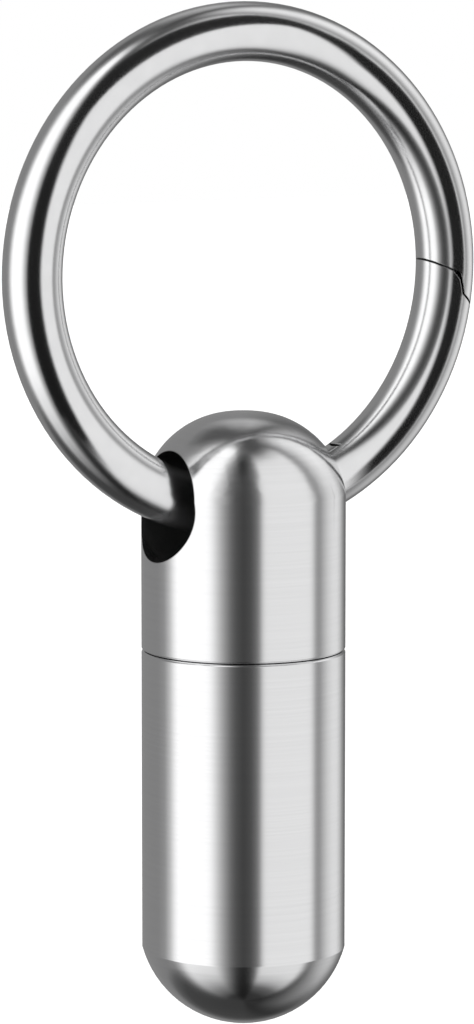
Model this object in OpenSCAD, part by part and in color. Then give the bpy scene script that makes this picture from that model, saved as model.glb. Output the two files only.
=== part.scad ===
// Pill fob on a spring-gate key ring. Millimetres, +Z up.
// The origin is the centre of the ring. The ring lies in the XZ plane with its gate
// towards +X, and the fob hangs below it on its cross bore, with its long axis on Z.

/* [Ring] */
// Clear diameter inside the ring
ring_inner_d = 25.65; // [24:0.05:30]
// Diameter of the round wire
wire_d = 3.65; // [3.5:0.05:3.9]

/* [Nose of the gate] */
// Height of the lap joint above the ring's centre, at its innermost corner
nose_z = 0.3; // [-1:0.1:1]
// Rise of the nose's inner face towards the inside of the ring, degrees
nose_rise = 25; // [24:1:30]
// Width of the bevel on the gate's corner at the top of the step
nose_bevel = 0.4; // [0.3:0.05:0.6]
// Distance of the lap's step outside the wire's centreline
step_out = 0.12; // [0:0.02:0.4]
// Length of the lap, which is how far the ring's outer lip covers the nose
step_len = 1.35; // [1:0.05:1.8]
// Lean of the step outwards from straight down, degrees
step_lean = 12; // [8:1:16]
// Fall of the lip's end face towards the outside of the ring, degrees
lip_fall = 38; // [37:1:43]

/* [Gate hinge] */
// Angle of the hinge pin below the ring's centre line, degrees
hinge_angle = 63.5; // [62:0.5:66]
// Swing of the gate from shut to its stop, where the plunger meets the end of its bore, degrees
gate_swing = 26; // [20:1:28]
// Diameter of the hinge pin
pin_d = 1.1; // [0.9:0.05:1.2]
// Thickness of the ring's tongue between the gate's two ears
tongue_t = 1.2; // [1.1:0.05:1.3]
// Distance from the pin to the tongue's cam face, where the plunger bears
cam_reach = 0.95; // [0.85:0.05:1]
// Metal left in front of the pin, which is pressed in from the back
pin_cover = 0.5; // [0.4:0.05:0.7]
// Radius of the slot between the gate's ears, round about the pin
slot_r = 2; // [1.95:0.05:2.2]

/* [Gate spring] */
// Diameter of the plunger
plunger_d = 1.1; // [0.9:0.05:1.15]
// Length of the plunger's thick part, from its round tip
plunger_len = 2.2; // [1.9:0.1:2.4]
// Distance of the plunger's tip from the pin, towards the inside of the ring
plunger_rise = 0.65; // [0.6:0.01:0.7]
// Slant of the plunger's bore away from the wire's run at the pin, degrees
plunger_slant = 6; // [4:1:8]
// Length of the spring with the gate shut
spring_len = 3; // [2.6:0.1:3.3]
// Diameter of the spring's wire
spring_wire_d = 0.2; // [0.16:0.02:0.22]
// Number of turns of the spring
spring_turns = 7; // [5:1:8]

/* [Fob] */
// Diameter of the fob
fob_d = 12.7; // [12.5:0.1:13.5]
// Height of the cap's domed crown
crown_h = 5.05; // [4.8:0.05:5.4]
// Radius of the small flat at the top of the crown
crown_flat = 0.45; // [0.2:0.05:0.8]
// Length of the cap's straight side, from the crown's edge to the seam
cap_side = 9.8; // [9.5:0.1:12]
// Length of the cup's straight side, from the seam to the edge of its end
cup_side = 18.8; // [16:0.2:30]
// Height of the cup's domed end
end_h = 4.85; // [4.4:0.05:5.4]
// Width of the small bevel on both edges at the seam
seam_bevel = 0.12; // [0.06:0.02:0.2]

/* [Cross bore] */
// Diameter of the bore that the ring runs through
bore_d = 6.8; // [6.7:0.05:7]
// Drop of the bore's axis below the crown's edge
bore_drop = 0.55; // [0.4:0.05:1]
// Height of the bore's axis above the lowest point of the wire's centreline
bore_lift = 0.3; // [0.2:0.05:0.4]

/* [Closure] */
// Length of the cap's threaded spigot below the seam
spigot_len = 5.5; // [5.2:0.1:5.8]
// Wall of the cup around its threaded neck
neck_wall = 0.9; // [0.8:0.05:1.2]
// Depth of the thread, from the wall of the cup's neck to the spigot's core
thread_depth = 0.45; // [0.4:0.05:0.5]
// Length of the cup's threaded neck below the seam
neck_len = 6.3; // [6.1:0.1:8]
// Wall of the spigot around its hollow
spigot_wall = 1.1; // [1:0.1:1.5]
// Metal left between the cross bore and the tip of the hollow
recess_roof = 1.4; // [1.2:0.1:1.8]
// Half of the point angle of the drill that made the hollow, degrees
drill_half_angle = 59; // [55:1:65]
// Wall of the cup below the neck
cup_wall = 1.45; // [1.3:0.05:1.8]
// Thickness of the cup's domed end
end_wall = 1.6; // [1.3:0.1:2]

/* [Seal] */
// Thickness of the squeezed seal, measured along the radius
seal_t = 0.82; // [0.76:0.02:0.86]
// Width of the squeezed seal, measured along the fob
seal_w = 1; // [0.9:0.05:1.05]
// Distance from the seam to the top of the seal's groove
groove_drop = 0.25; // [0.2:0.05:0.3]
// Depth of the groove in the spigot
groove_depth = 0.15; // [0.1:0.05:0.2]

/* [Clearances] */
// Gap between the faces of the nose and of the ring
nose_gap = 0.12; // [0.1:0.01:0.16]
// Gap along the step of the lap joint
step_gap = 0.18; // [0.12:0.02:0.24]
// Gap between the gate's round heel and the ring's shoulder
heel_gap = 0.1; // [0.08:0.02:0.16]
// Gap on each side of the tongue
tongue_gap = 0.05; // [0.04:0.01:0.08]
// Radial gap between the pin and the tongue
pin_run = 0.03; // [0.02:0.01:0.05]
// Radial gap between the pin and the gate's ears
pin_seat = 0.01; // [0.01:0.01:0.02]
// Radial gap between the plunger and its bore
plunger_run = 0.05; // [0.04:0.01:0.07]
// Gap between the plunger's tip and the cam face
cam_gap = 0.03; // [0.02:0.01:0.05]
// Gap between the cap and the cup at the seam
seam_gap = 0.06; // [0.04:0.01:0.1]
// Radial gap between the seal and the bottom of its groove, and on each of its sides
seal_seat = 0.03; // [0.02:0.01:0.05]
// Radial gap between the seal and the cup
seal_run = 0.04; // [0.03:0.01:0.06]

/* [Hidden] */
$fn = 96;

steel = "silver";
spring_steel = "gray";
rubber = "black";

// Ring
wire_r = wire_d / 2;
ring_r = ring_inner_d / 2 + wire_r;
through = wire_d;
beyond = ring_r + wire_d;

// Lap joint: directions of its faces, and the corner at the top of the step
inward = [-1, tan(nose_rise)];
downward = [sin(step_lean), -cos(step_lean)];
outward = [1, -tan(lip_fall)];
ring_corner = [ring_r + step_out, nose_z - (wire_r + step_out) * tan(nose_rise)];
gate_corner = ring_corner + step_gap * inward - [0, nose_gap];

// Hinge: the pin stands on the wire's centreline, and the gate runs forward of it
pin_at = ring_r * [cos(hinge_angle), -sin(hinge_angle)];
pin_turn = 90 - hinge_angle;
pin_r = pin_d / 2;
pin_back = sqrt(pow(wire_r, 2) - pow(pin_r, 2));
pin_front = wire_r - pin_cover;
tongue_r = slot_r - heel_gap;
shoulder_r = wire_r + heel_gap;

// Plunger and spring, along the plunger's bore
plunger_r = plunger_d / 2;
plunger_from = [cam_reach + cam_gap + plunger_r, plunger_rise];
plunger_bore_r = plunger_r + plunger_run;
spring_r = plunger_r - spring_wire_d / 2;
spring_from = plunger_len - plunger_r;
plunger_bore_end = spring_from + spring_len + cam_gap;

// The nib runs through the spring and meets the bottom of the bore when the gate is open
nib_r = plunger_r / 2;
stop_travel = (
    plunger_from[0] * (1 - cos(gate_swing)) + plunger_from[1] * sin(gate_swing)
) / cos(gate_swing + plunger_slant);
nib_len = spring_len - stop_travel;

// Fob heights
fob_r = fob_d / 2;
bore_r = bore_d / 2;
bore_z = bore_lift - ring_r;
crown_edge_z = bore_z + bore_drop;
crown_z = crown_edge_z + crown_h;
seam_z = crown_edge_z - cap_side;
cup_edge_z = seam_z - cup_side;
crown_arc_r = (pow(fob_r - crown_flat, 2) + pow(crown_h, 2)) / (2 * crown_h);
end_arc_r = (pow(fob_r, 2) + pow(end_h, 2)) / (2 * end_h);
end_arc_z = cup_edge_z - end_h + end_arc_r;

// Closure
neck_r = fob_r - neck_wall;
spigot_r = neck_r - thread_depth;
groove_r = spigot_r - groove_depth;
groove_w = seal_w + 2 * seal_seat;
seal_mid_r = groove_r + seal_seat + seal_t / 2;
seal_bore_r = seal_mid_r + seal_t / 2 + seal_run;
seal_mid_z = seam_z - groove_drop - groove_w / 2;
seal_bore_len = groove_drop + groove_w;
recess_r = spigot_r - spigot_wall;
recess_tip_z = bore_z - bore_r - recess_roof;
recess_side_z = recess_tip_z - recess_r / tan(drill_half_angle);
spigot_end_z = seam_z - spigot_len;
spigot_bevel = thread_depth;
cup_bore_r = fob_r - cup_wall;

// Puts what is drawn in the XY plane into the plane of the ring
module in_ring_plane() {
    rotate([90, 0, 0]) children();
}

// A prism over an outline in the ring's plane, thicker than the wire
module through_wire(half = through) {
    translate([0, 0, -half]) linear_extrude(2 * half) children();
}

// Moves to the hinge pin, with X along the wire towards the nose and Y into the ring
module at_pin() {
    translate(pin_at) rotate(pin_turn) children();
}

// Moves to the centre of the plunger's round tip, with X along the plunger's bore
module at_plunger() {
    at_pin() translate(plunger_from) rotate(plunger_slant) children();
}

module ring_wire() {
    rotate_extrude() translate([ring_r, 0]) circle(wire_r);
}

// Space of the stretch between the nose, with its step's corner at top, and the pin.
// The heel is round about the pin.
module gate_space(top, heel_r) {
    bottom = top + step_len * downward;
    through_wire() polygon([
        top + wire_d * inward,
        top,
        bottom,
        bottom + wire_d * outward,
        beyond * [1, -1],
        pin_at * (1 + wire_d / ring_r),
        pin_at * (1 - wire_d / ring_r),
    ]);
    through_wire() translate(pin_at) circle(heel_r);
}

// Bevel of the gate's corner, which lets the nose swing clear of the ring's face
module nose_corner() {
    through_wire() translate(gate_corner)
        polygon(nose_bevel * [2 * inward - downward, 2 * downward - inward, [2, 2]]);
}

// Disc about the pin with all that lies behind it: the outline of the slot and of the tongue
module round_ended(r) {
    circle(r);
    translate([-wire_d, -wire_d]) square([wire_d, 2 * wire_d]);
}

// Tongue of the ring between the ears, with a flat cam face for the plunger
module tongue_outline() {
    at_pin() intersection() {
        translate([-wire_d, -wire_d]) square([wire_d + cam_reach, 2 * wire_d]);
        round_ended(tongue_r);
    }
}

// Round bar or hole on the pin's axis, from the back to a blind end at the front
module pin_shape(r, back) {
    translate([pin_at[0], pin_at[1], -back]) cylinder(r = r, h = back + pin_front);
}

module ring_body() {
    color(steel) in_ring_plane() difference() {
        ring_wire();
        difference() {
            gate_space(ring_corner, shoulder_r);
            through_wire(tongue_t / 2) tongue_outline();
        }
        through_wire() translate(pin_at) circle(pin_r + pin_run);
    }
}

module ring_gate() {
    color(steel) in_ring_plane() difference() {
        intersection() {
            ring_wire();
            gate_space(gate_corner, wire_r);
        }
        nose_corner();
        through_wire(tongue_t / 2 + tongue_gap) at_pin() round_ended(slot_r);
        pin_shape(pin_r + pin_seat, beyond);
        at_plunger() rotate([0, 90, 0]) cylinder(r = plunger_bore_r, h = plunger_bore_end);
    }
}

module hinge_pin() {
    color(steel) in_ring_plane() pin_shape(pin_r, pin_back);
}

// Round-nosed plunger with a nib that guides the spring and stops the gate
module gate_plunger() {
    color(steel) in_ring_plane() at_plunger() rotate([0, 90, 0]) rotate_extrude()
        intersection() {
            union() {
                circle(plunger_r);
                square([plunger_r, spring_from]);
                square([nib_r, spring_from + nib_len]);
            }
            translate([0, -plunger_r]) square([plunger_r, plunger_len + nib_len]);
        }
}

module gate_spring() {
    color(spring_steel) in_ring_plane() at_plunger() translate([spring_from, 0])
        rotate([0, 90, 0]) coil();
}

// Compression spring as one tube swept along a helix
module coil() {
    sides = 6;
    steps_per_turn = 10;
    rings = spring_turns * steps_per_turn;
    tube_r = spring_wire_d / 2;
    rise = (spring_len - 2 * spring_wire_d) / 360 / spring_turns;
    points = [
        for (i = [0:rings], k = [0:sides - 1])
            let (
                turn = i * 360 / steps_per_turn,
                side = k * 360 / sides,
                out = spring_r + tube_r * cos(side)
            )
            [out * cos(turn), out * sin(turn), spring_wire_d + rise * turn + tube_r * sin(side)]
    ];
    walls = [
        for (i = [0:rings - 1], k = [0:sides - 1])
            let (
                a = i * sides + k,
                b = i * sides + (k + 1) % sides
            )
            each [[a, b, b + sides], [a, b + sides, a + sides]]
    ];
    start = [for (k = [1:sides - 2]) [0, k + 1, k]];
    last = rings * sides;
    finish = [for (k = [1:sides - 2]) [last, last + k, last + k + 1]];
    polyhedron(points, concat(walls, start, finish));
}

// What an arc leaves of a rectangle, used to round the end of a half section
module outside_arc(centre, arc_r, corner, size) {
    difference() {
        translate(corner) square(size);
        translate(centre) circle(arc_r);
    }
}

// Half section of the cap, turned about the fob's axis
module cap_section() {
    difference() {
        polygon([
            [0, crown_z],
            [fob_r, crown_z],
            [fob_r, seam_z + seam_gap / 2 + seam_bevel],
            [fob_r - seam_bevel, seam_z + seam_gap / 2],
            [spigot_r, seam_z + seam_gap / 2],
            [spigot_r, spigot_end_z + spigot_bevel],
            [spigot_r - spigot_bevel, spigot_end_z],
            [recess_r, spigot_end_z],
            [recess_r, recess_side_z],
            [0, recess_tip_z],
        ]);
        outside_arc(
            [crown_flat, crown_z - crown_arc_r], crown_arc_r,
            [crown_flat, crown_edge_z], [fob_d, 2 * crown_h]
        );
        translate([groove_r, seal_mid_z - groove_w / 2]) square([fob_r, groove_w]);
    }
}

module fob_cap() {
    color(steel) difference() {
        rotate_extrude() cap_section();
        translate([-fob_d, 0, bore_z]) rotate([0, 90, 0]) cylinder(r = bore_r, h = 2 * fob_d);
    }
}

module cap_seal() {
    corner_r = seal_t / 2;
    shift = (seal_w - seal_t) / 2;
    color(rubber) rotate_extrude() translate([seal_mid_r, seal_mid_z]) {
        translate([0, shift]) circle(corner_r);
        translate([0, -shift]) circle(corner_r);
        translate([-corner_r, -shift]) square([seal_t, 2 * shift]);
    }
}

// Half section of the cup: seal bore, threaded neck and round-bottomed store
module cup_section() {
    mouth_z = seam_z - seam_gap / 2;
    end_z = cup_edge_z - end_h;
    difference() {
        polygon([
            [seal_bore_r, mouth_z],
            [fob_r - seam_bevel, mouth_z],
            [fob_r, mouth_z - seam_bevel],
            [fob_r, end_z],
            [0, end_z],
            [0, end_arc_z],
            [cup_bore_r, end_arc_z],
            [cup_bore_r, seam_z - neck_len - thread_depth],
            [neck_r, seam_z - neck_len],
            [neck_r, mouth_z - seal_bore_len - thread_depth],
            [seal_bore_r, mouth_z - seal_bore_len],
        ]);
        outside_arc([0, end_arc_z], end_arc_r, [0, end_z - end_h], [fob_d, 2 * end_h]);
        intersection() {
            translate([0, end_arc_z]) circle(end_arc_r - end_wall);
            translate([0, end_z]) square([cup_bore_r, end_arc_r + end_wall]);
        }
    }
}

module fob_cup() {
    color(steel) rotate_extrude() cup_section();
}

ring_body();
ring_gate();
hinge_pin();
gate_plunger();
gate_spring();
fob_cap();
cap_seal();
fob_cup();
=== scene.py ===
import math

import bpy
from mathutils import Euler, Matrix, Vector


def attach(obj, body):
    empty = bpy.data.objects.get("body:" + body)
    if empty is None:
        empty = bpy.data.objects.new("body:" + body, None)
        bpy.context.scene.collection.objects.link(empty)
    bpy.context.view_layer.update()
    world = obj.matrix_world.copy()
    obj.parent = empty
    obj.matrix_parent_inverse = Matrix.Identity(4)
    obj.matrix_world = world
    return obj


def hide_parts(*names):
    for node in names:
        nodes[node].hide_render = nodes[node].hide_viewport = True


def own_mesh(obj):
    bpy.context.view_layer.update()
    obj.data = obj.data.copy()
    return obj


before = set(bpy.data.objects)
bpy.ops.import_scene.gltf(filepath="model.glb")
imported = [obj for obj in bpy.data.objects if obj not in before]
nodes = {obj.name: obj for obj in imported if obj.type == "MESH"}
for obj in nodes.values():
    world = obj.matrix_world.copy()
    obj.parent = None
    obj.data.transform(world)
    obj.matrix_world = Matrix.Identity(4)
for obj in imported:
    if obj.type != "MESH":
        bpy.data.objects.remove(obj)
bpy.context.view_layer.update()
scene = bpy.context.scene
MM = 0.001

CAMERA = Vector((-0.14258, -0.24765, 0.02118))
CAMERA_AZIMUTH = math.atan2(CAMERA.y, CAMERA.x)
CAMERA_TILT, CAMERA_HEADING = 82.69, -29.85
LENS, SENSOR, LENS_SHIFT = 163.27, 36, 0.0071
LIGHT_STRENGTH = 1.28

FLOOR_HALF, FLOOR_Z = 3.0, -0.2
FLOOR_GREY, FLOOR_GLOW = 0.9, 0.65

# Millimetres in the fob's coordinates: the cross bore's axis, the distances from it between which
# its painted shade ends, and the distances from its middle between which the painted shade weakens
# to the mouths.
BORE_Z = -14.35
BORE_SHADE_EDGE = (3.405, 3.47)
BORE_SHADE_MOUTH = (4.9, 5.9)
# Lever arm of a face's normal about the ring's axis, large on the walls of the cuts only, which get
# painted shade.
CUT_SHADE_LEVER = (5, 6)
EDGE_ROUND = 0.06
LINE_DEPTH = 0.001

# The world's lights, each as brightness against degrees round from the camera's direction, and
# against degrees up. The two are multiplied.
LIGHTS = (
    # the large softbox left of the camera
    ([(-112, 0.0), (-100, 0.05), (-92, 0.28), (-84, 0.76), (-78, 1.0), (-44, 1.0), (-38, 0.92),
      (-33, 0.70), (-27, 0.43), (-21, 0.24), (-15, 0.10), (-9, 0.03), (0, 0.0)],
     [(-80, 0.02), (-68, 0.20), (-53, 0.60), (-38, 0.88), (-28, 1.0), (70, 1.0), (76, 0.86),
      (80, 0.40), (84, 0.10), (88, 0.0)]),
    # the paler one right of the camera
    ([(0, 0.0), (9, 0.02), (16, 0.10), (19, 0.24), (22, 0.60), (26, 0.70), (80, 0.70), (84, 0.60),
      (89, 0.28), (93, 0.10), (97, 0.0)],
     [(-78, 0.03), (-68, 0.14), (-60, 0.62), (-50, 0.96), (-44, 1.0), (56, 1.0), (61, 0.85),
      (67, 0.50), (72, 0.16), (77, 0.0)]),
    # one behind it
    ([(89, 0.0), (93, 0.10), (100, 0.30), (111, 0.52), (121, 0.61), (131, 0.60), (140, 0.42),
      (148, 0.20), (156, 0.06), (163, 0.0)],
     [(-78, 0.02), (-65, 0.12), (-55, 0.24), (-45, 0.38), (-35, 0.58), (-25, 0.76), (-12, 1.0),
      (10, 1.0), (30, 1.2), (57, 1.2), (65, 0.92), (72, 0.40), (79, 0.0)]),
    # a glow high on the left
    ([(-128, 0.0), (-115, 0.12), (-104, 0.24), (-92, 0.50), (-84, 0.20), (-78, 0.0)],
     [(38, 0.0), (48, 0.45), (62, 0.90), (76, 1.0), (84, 0.0)]),
    # a dim ceiling
    ([(-180, 0.0), (-150, 0.01), (-110, 0.07), (-70, 0.16), (-40, 0.15), (0, 0.09), (40, 0.05),
      (110, 0.06), (150, 0.01), (180, 0.0)],
     [(64, 0.0), (77, 1.0), (90, 0.9)]),
    # the grey room
    ([(-180, 0.21), (-95, 0.21), (-75, 0.05), (0, 0.045), (90, 0.06), (165, 0.12), (180, 0.21)],
     [(-75, 0.20), (-50, 0.25), (-42, 0.45), (-36, 0.90), (-25, 1.0), (40, 1.0), (55, 0.42),
      (85, 0.30)]),
    # a lighter patch high behind the object
    ([(-180, 0.24), (-172, 0.22), (-160, 0.05), (-150, 0.0), (158, 0.0), (166, 0.22), (174, 0.30),
      (180, 0.24)],
     [(34, 0.0), (46, 1.0), (56, 1.0), (66, 0.3), (76, 0.0)]),
)

# Dark cards along the ring's front: name, reach, then degrees round the ring with the card's inner
# and outer radius there, in millimetres.
RING_CARDS = (
    ("flag_right", 7.5, [
        (-60, 16.9, 20.6), (-54, 15.8, 20.8), (-49, 15.3, 20.5), (-44, 15.0, 20.3),
        (-38, 14.8, 20.1), (-28, 14.3, 19.7), (-17, 14.1, 19.4), (8, 13.8, 19.0),
        (26, 13.8, 18.9), (35, 14.0, 18.9), (44, 14.3, 18.9), (53, 14.7, 19.0),
        (62, 15.9, 19.8)]),
    ("flag_crest", 11, [
        (62, 15.9, 19.8), (71, 17.3, 22.0), (80, 17.9, 24.0), (92, 17.5, 24.0),
        (104, 17.1, 24.0), (114, 17.1, 24.0), (124, 16.9, 24.0), (136, 16.5, 21.8)]),
    ("flag_left", 7.5, [
        (136, 16.5, 21.8), (147, 15.7, 20.4), (158, 15.1, 19.8), (170, 14.75, 19.5),
        (181, 14.65, 19.5), (192, 14.6, 19.8), (203, 14.8, 20.2), (210, 15.1, 20.7),
        (217, 15.5, 21.4)]),
    ("flag_end", 5, [
        (217, 15.5, 21.4), (224, 16.2, 22.0), (232, 17.4, 23.0), (238, 19.0, 24.0)]),
)
CARD_Y = -5
# Degrees at which the row of cards starts and ends, and over which it fades in and out there.
CARD_START, CARD_START_FADE = -60, 8
CARD_END, CARD_END_FADE = 238, 14
# Half the width, in millimetres, over which a card fades at its inner and outer edge.
CARD_SOFT = 0.45
CARD_STEP = 3
TOP_CARD = [(42, -20, 26), (42, -20, 70), (-14, -20, 70), (-14, -20, 19.5), (18.5, -20, 26)]
TOP_REACH = 34


def tree_of(owner):
    owner.use_nodes = True
    tree = owner.node_tree
    tree.nodes.clear()
    return tree


def add(tree, kind, **settings):
    node = tree.nodes.new(kind)
    for key, value in settings.items():
        setattr(node, key, value)
    return node


def feed(tree, socket, value):
    if isinstance(value, bpy.types.NodeSocket):
        tree.links.new(value, socket)
    else:
        socket.default_value = value


def math_node(tree, op, *values):
    node = add(tree, "ShaderNodeMath", operation=op)
    for socket, value in zip(node.inputs, values):
        feed(tree, socket, value)
    return node.outputs[0]


def span(tree, value, a, b, c=0.0, d=1.0):
    """The value eased from c at a to d at b."""
    node = add(tree, "ShaderNodeMapRange", interpolation_type="SMOOTHSTEP")
    for socket, part in zip(node.inputs, (value, a, b, c, d)):
        feed(tree, socket, part)
    return node.outputs[0]


def ramp(tree, value, stops):
    node = add(tree, "ShaderNodeValToRGB")
    feed(tree, node.inputs[0], value)
    band = node.color_ramp
    while len(band.elements) > 1:
        band.elements.remove(band.elements[-1])
    band.elements[0].position = stops[0][0]
    for position, _ in stops[1:]:
        band.elements.new(position)
    for element, (_, grey) in zip(band.elements, stops):
        element.color = (grey, grey, grey, 1)
    return node.outputs[0]


def noise(tree, vector, scale, detail):
    node = add(tree, "ShaderNodeTexNoise")
    feed(tree, node.inputs["Vector"], vector)
    node.inputs["Scale"].default_value = scale
    node.inputs["Detail"].default_value = detail
    return node.outputs[0]


def split(tree, vector):
    node = add(tree, "ShaderNodeSeparateXYZ")
    feed(tree, node.inputs[0], vector)
    return node.outputs


def darkened(tree, base, share, grey):
    both = add(tree, "ShaderNodeMix", data_type="RGBA")
    feed(tree, both.inputs["Factor"], share)
    feed(tree, both.inputs[6], base)
    both.inputs[7].default_value = (grey, grey, grey, 1)
    return both.outputs[2]


def mixed(tree, share, first, second):
    node = add(tree, "ShaderNodeMixShader")
    for socket, value in zip(node.inputs, (share, first.outputs[0], second.outputs[0])):
        feed(tree, socket, value)
    return node


def output(tree, shader, kind="ShaderNodeOutputMaterial"):
    feed(tree, add(tree, kind).inputs[0], shader.outputs[0])


def flag(name, points, faces, reach, dark):
    """Card seen only in reflections of surfaces within reach, as dark as each point says."""
    mesh = bpy.data.meshes.new(name)
    mesh.from_pydata([[v * MM for v in point] for point in points], [], faces)
    mesh.attributes.new("dark", "FLOAT", "POINT").data.foreach_set("value", dark)
    card = bpy.data.objects.new(name, mesh)
    scene.collection.objects.link(card)
    material = bpy.data.materials.new(name)
    tree = tree_of(material)
    black = add(tree, "ShaderNodeEmission")
    black.inputs["Strength"].default_value = 0.01
    distance = add(tree, "ShaderNodeLightPath").outputs["Ray Length"]
    near = math_node(tree, "LESS_THAN", distance, reach * MM)
    shade = add(tree, "ShaderNodeAttribute", attribute_name="dark").outputs["Fac"]
    share = math_node(tree, "MULTIPLY", near, shade)
    output(tree, mixed(tree, share, add(tree, "ShaderNodeBsdfTransparent"), black))
    mesh.materials.append(material)
    card.visible_camera = card.visible_diffuse = card.visible_shadow = False


def flags():
    """Dark cards along the ring's front and above it, for the dark band on the ring."""
    for name, reach, edge in RING_CARDS:
        points, dark = [], []
        for (start, inner, outer), (end, inner_end, outer_end) in zip(edge, edge[1:]):
            steps = max(1, round((end - start) / CARD_STEP))
            for i in range(steps + (end == edge[-1][0])):
                share = i / steps
                angle = start + (end - start) * share
                turn = math.radians(angle)
                low = inner + (inner_end - inner) * share
                high = outer + (outer_end - outer) * share
                ends = min(
                    1.0, (angle - CARD_START) / CARD_START_FADE, (CARD_END - angle) / CARD_END_FADE)
                for r, shade in ((low - CARD_SOFT, 0), (low + CARD_SOFT, ends),
                                 (high - CARD_SOFT, ends), (high + CARD_SOFT, 0)):
                    points.append((r * math.cos(turn), CARD_Y, r * math.sin(turn)))
                    dark.append(shade)
        faces = [(i + k, i + k + 1, i + k + 5, i + k + 4)
                 for i in range(0, len(points) - 7, 4) for k in range(3)]
        flag(name, points, faces, reach, dark)
    flag("flag_top", TOP_CARD, [tuple(range(len(TOP_CARD)))], TOP_REACH, [1] * len(TOP_CARD))


def studio():
    world = bpy.data.worlds.new("studio")
    scene.world = world
    tree = tree_of(world)
    turned = add(tree, "ShaderNodeVectorRotate", rotation_type="Z_AXIS")
    feed(tree, turned.inputs["Vector"], add(tree, "ShaderNodeTexCoord").outputs["Generated"])
    feed(tree, turned.inputs["Angle"], -CAMERA_AZIMUTH)
    x, y, z = split(tree, turned.outputs[0])
    turn = math_node(tree, "ARCTAN2", y, x)
    around = math_node(tree, "MULTIPLY_ADD", turn, 1 / (2 * math.pi), 0.5)
    tall = math_node(tree, "MULTIPLY_ADD", math_node(tree, "ARCSINE", z), 1 / math.pi, 0.5)
    level = 0.0
    for sides, heights in LIGHTS:
        side = ramp(tree, around, [((degrees + 180) / 360, value) for degrees, value in sides])
        height = ramp(tree, tall, [((degrees + 90) / 180, value) for degrees, value in heights])
        level = math_node(tree, "ADD", level, math_node(tree, "MULTIPLY", side, height))
    lights = add(tree, "ShaderNodeBackground")
    feed(tree, lights.inputs[0], level)
    lights.inputs[1].default_value = LIGHT_STRENGTH
    white = add(tree, "ShaderNodeBackground")
    white.inputs[0].default_value = (1, 1, 1, 1)
    seen = add(tree, "ShaderNodeLightPath").outputs["Is Camera Ray"]
    output(tree, mixed(tree, seen, lights, white), "ShaderNodeOutputWorld")


def camera():
    data = bpy.data.cameras.new("camera")
    data.lens = LENS
    data.sensor_width = SENSOR
    data.shift_y = LENS_SHIFT
    data.clip_start = 0.01
    view = bpy.data.objects.new("camera", data)
    view.location = CAMERA
    view.rotation_euler = Euler((math.radians(CAMERA_TILT), 0, math.radians(CAMERA_HEADING)))
    scene.collection.objects.link(view)
    scene.camera = view


def floor():
    mesh = bpy.data.meshes.new("floor")
    mesh.from_pydata(
        [(x * FLOOR_HALF, y * FLOOR_HALF, FLOOR_Z) for x, y in ((-1, -1), (1, -1), (1, 1), (-1, 1))],
        [], [(0, 1, 2, 3)])
    plane = bpy.data.objects.new("floor", mesh)
    scene.collection.objects.link(plane)
    material = bpy.data.materials.new("floor")
    tree = tree_of(material)
    diffuse = add(tree, "ShaderNodeBsdfDiffuse")
    diffuse.inputs[0].default_value = (FLOOR_GREY, FLOOR_GREY, FLOOR_GREY, 1)
    glow = add(tree, "ShaderNodeEmission")
    seen = add(tree, "ShaderNodeLightPath").outputs["Is Camera Ray"]
    feed(tree, glow.inputs["Strength"], math_node(tree, "MULTIPLY", seen, FLOOR_GLOW))
    both = add(tree, "ShaderNodeAddShader")
    feed(tree, both.inputs[0], diffuse.outputs[0])
    feed(tree, both.inputs[1], glow.outputs[0])
    output(tree, both)
    mesh.materials.append(material)
    plane.visible_glossy = False


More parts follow.
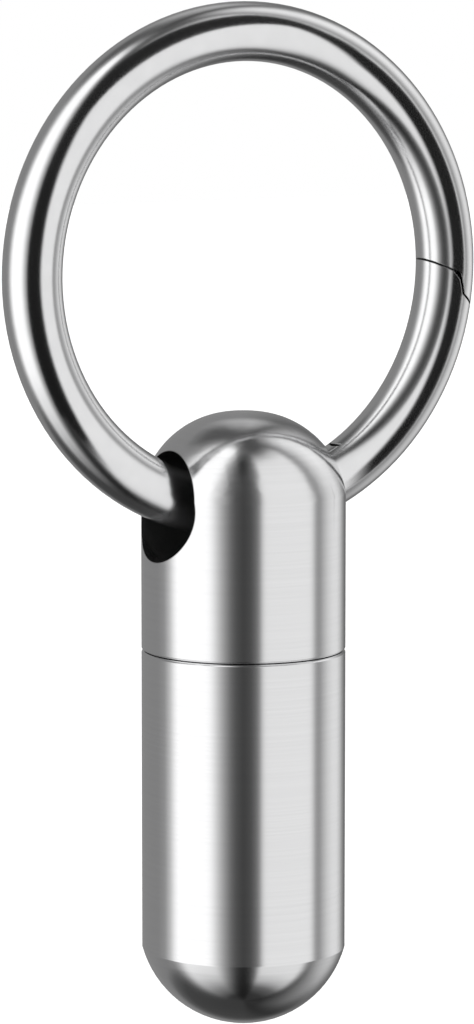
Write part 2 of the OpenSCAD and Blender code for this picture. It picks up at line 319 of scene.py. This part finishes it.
def steel(name, colour, roughness, lines, line_scale, wear=0.0, bore=False):
    """Polished steel with faint tool lines.

    With bore it is the fob's, with painted shade within the cross bore. Otherwise it has soft smears
    in its gloss, as strong as wear says, and painted shade on the walls of the cuts across the
    ring's wire.
    """
    material = bpy.data.materials.new(name)
    tree = tree_of(material)
    where = add(tree, "ShaderNodeTexCoord").outputs["Object"]
    x, y, z = split(tree, where)
    stretch = add(tree, "ShaderNodeMapping")
    feed(tree, stretch.inputs[0], where)
    stretch.inputs["Scale"].default_value = line_scale
    fine = noise(tree, stretch.outputs[0], 1.0, 4.0)
    tinted = add(tree, "ShaderNodeMix", data_type="RGBA", blend_type="MULTIPLY")
    tinted.inputs["Factor"].default_value = 1.0
    tinted.inputs[6].default_value = (*colour, 1)
    feed(tree, tinted.inputs[7], math_node(tree, "MULTIPLY_ADD", fine, 0.10, 0.95))
    if bore:
        rise = math_node(tree, "ADD", z, -BORE_Z * MM)
        from_axis = math_node(tree, "SQRT", math_node(
            tree, "ADD", math_node(tree, "POWER", y, 2.0), math_node(tree, "POWER", rise, 2.0)))
        from_middle = math_node(tree, "ABSOLUTE", x)
        # Painted shade within the cross bore: the base colour darkens towards 0.20 there, less
        # towards the mouths.
        shade_to_mouths = span(tree, from_middle, BORE_SHADE_MOUTH[0] * MM, BORE_SHADE_MOUTH[1] * MM, 1.0, 0.45)
        shaded_wall = span(tree, from_axis, BORE_SHADE_EDGE[0] * MM, BORE_SHADE_EDGE[1] * MM, 1.0, 0.0)
        painted_bore_shade = math_node(tree, "MULTIPLY", shade_to_mouths, shaded_wall)
        base = darkened(tree, tinted.outputs[2], painted_bore_shade, 0.20)
        rough = math_node(tree, "MULTIPLY_ADD", painted_bore_shade, 0.25, roughness)
    else:
        facing = add(
            tree, "ShaderNodeVectorTransform", vector_type="NORMAL", convert_from="WORLD",
            convert_to="OBJECT")
        feed(tree, facing.inputs[0], add(tree, "ShaderNodeNewGeometry").outputs["True Normal"])
        normal_x, _, normal_z = split(tree, facing.outputs[0])
        lever = math_node(tree, "ABSOLUTE", math_node(
            tree, "SUBTRACT", math_node(tree, "MULTIPLY", x, normal_z),
            math_node(tree, "MULTIPLY", z, normal_x)))
        # Painted shade on the walls of the cuts across the wire: their base colour darkens to 0.03.
        shaded_wall = span(tree, lever, CUT_SHADE_LEVER[0] * MM, CUT_SHADE_LEVER[1] * MM)
        base = darkened(tree, tinted.outputs[2], shaded_wall, 0.03)
        smear = noise(tree, where, 260.0, 3.0)
        rough = math_node(tree, "MULTIPLY_ADD", smear, wear, roughness - wear / 2)
    soft = add(tree, "ShaderNodeBevel", samples=6)
    soft.inputs["Radius"].default_value = EDGE_ROUND * MM
    bump = add(tree, "ShaderNodeBump")
    feed(tree, bump.inputs["Normal"], soft.outputs[0])
    bump.inputs["Strength"].default_value = lines
    bump.inputs["Distance"].default_value = LINE_DEPTH * MM
    feed(tree, bump.inputs["Height"], fine)
    shader = add(tree, "ShaderNodeBsdfPrincipled")
    shader.inputs["Metallic"].default_value = 1.0
    feed(tree, shader.inputs["Base Color"], base)
    feed(tree, shader.inputs["Roughness"], rough)
    feed(tree, shader.inputs["Normal"], bump.outputs[0])
    output(tree, shader)
    return material


def rubber():
    material = bpy.data.materials.new("seal_rubber")
    tree = tree_of(material)
    grain = noise(tree, add(tree, "ShaderNodeTexCoord").outputs["Object"], 3000.0, 2.0)
    shader = add(tree, "ShaderNodeBsdfPrincipled")
    feed(tree, shader.inputs["Base Color"], ramp(tree, grain, [(0.3, 0.015), (0.7, 0.03)]))
    feed(tree, shader.inputs["Roughness"], span(tree, grain, 0.3, 0.7, 0.45, 0.65))
    output(tree, shader)
    return material


def paint(obj, material):
    obj.data.materials.clear()
    obj.data.materials.append(material)


def piece(name, points, faces, body, material):
    mesh = bpy.data.meshes.new(name)
    mesh.from_pydata([[v * MM for v in point] for point in points], [], faces)
    mesh.shade_smooth()
    obj = bpy.data.objects.new(name, mesh)
    scene.collection.objects.link(obj)
    mesh.materials.append(material)
    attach(obj, body)
    return obj


def swept(sections):
    """Points and faces of a tube through closed sections of equal size, with its ends closed."""
    size = len(sections[0])
    points = [point for section in sections for point in section]
    faces = []
    for i in range(len(sections) - 1):
        for k in range(size):
            a, b = i * size + k, i * size + (k + 1) % size
            faces.append((a, b, b + size, a + size))
    faces.append(tuple(reversed(range(size))))
    faces.append(tuple(range(len(points) - size, len(points))))
    return points, faces


def thread(name, body, root, tip, top, bottom):
    """Right-hand thread ridge from top down to bottom, tapering out at both ends."""
    pitch, steps = 1.0, 64
    taper = 0.4 * steps
    count = round((top - bottom) / pitch * steps)
    sections = []
    for i in range(count + 1):
        turn = -2 * math.pi * i / steps
        z = top - i * pitch / steps
        grown = min(1.0, i / taper + 0.02, (count - i) / taper + 0.02)
        crest = root + (tip - root) * grown
        base = root - (tip - root) * 0.1
        sections.append([
            (r * math.cos(turn), r * math.sin(turn), z + h)
            for r, h in ((base, -0.29), (crest, -0.10), (crest, 0.10), (base, 0.29))])
    if tip > root:
        sections = [section[::-1] for section in sections]
    points, faces = swept(sections)
    ridge = piece(name, points, faces, body, fob_steel)
    ridge.modifiers.new("edges", "EDGE_SPLIT").split_angle = math.radians(35)


def spring():
    """Compression spring with a closed turn at each end, on the plunger's axis."""
    along = Vector((0.843391, 0, 0.5373))
    aside = Vector((0, 1, 0))
    third = along.cross(aside)
    start, length, radius = Vector((9.008, 0, -10.960)), 3.0, 0.45
    turns, wire_radius = 7.0, 0.1
    steps, sides = 36, 10
    closed_rise = 2.02 * wire_radius
    open_rise = (length - 2 * wire_radius - 2 * closed_rise) / (turns - 2.0)
    sections = []
    for i in range(int(turns * steps) + 1):
        done = i / steps
        rise = wire_radius
        rise += closed_rise * (min(done, 1.0) + max(done - turns + 1.0, 0.0))
        rise += open_rise * min(max(done - 1.0, 0.0), turns - 2.0)
        angle = 2 * math.pi * done
        out = math.cos(angle) * aside + math.sin(angle) * third
        centre = start + along * rise + out * radius
        sections.append([
            tuple(centre + wire_radius * (math.cos(t) * out + math.sin(t) * along))
            for t in (2 * math.pi * k / sides for k in range(sides))])
    points, faces = swept(sections)
    coil = piece("spring_coil", points, faces, "gate", spring_steel)
    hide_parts("gate_spring")
    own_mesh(coil)


ring_steel = steel("ring_steel", (0.78, 0.78, 0.785), 0.18, 0.05, (900, 900, 900), wear=0.04)
fob_steel = steel("fob_steel", (0.77, 0.77, 0.775), 0.14, 0.12, (60, 60, 9000), bore=True)
pin_steel = steel("pin_steel", (0.70, 0.70, 0.71), 0.22, 0.15, (900, 900, 900), wear=0.06)
spring_steel = steel(
    "spring_steel", (0.50, 0.50, 0.51), 0.30, 0.15, (2000, 2000, 2000), wear=0.08)
seal_rubber = rubber()

paint(nodes["ring_body"], ring_steel)
paint(nodes["ring_gate"], ring_steel)
paint(nodes["hinge_pin"], pin_steel)
paint(nodes["gate_plunger"], pin_steel)
spring()
paint(nodes["fob_cap"], fob_steel)
paint(nodes["fob_cup"], fob_steel)
paint(nodes["cap_seal"], seal_rubber)
thread("cap_thread", "cap", root=5.0, tip=5.35, top=-25.3, bottom=-28.6)
thread("cup_thread", "cup", root=5.45, tip=5.10, top=-25.8, bottom=-29.6)

studio()
flags()
camera()
floor()
scene.view_settings.view_transform = "Standard"
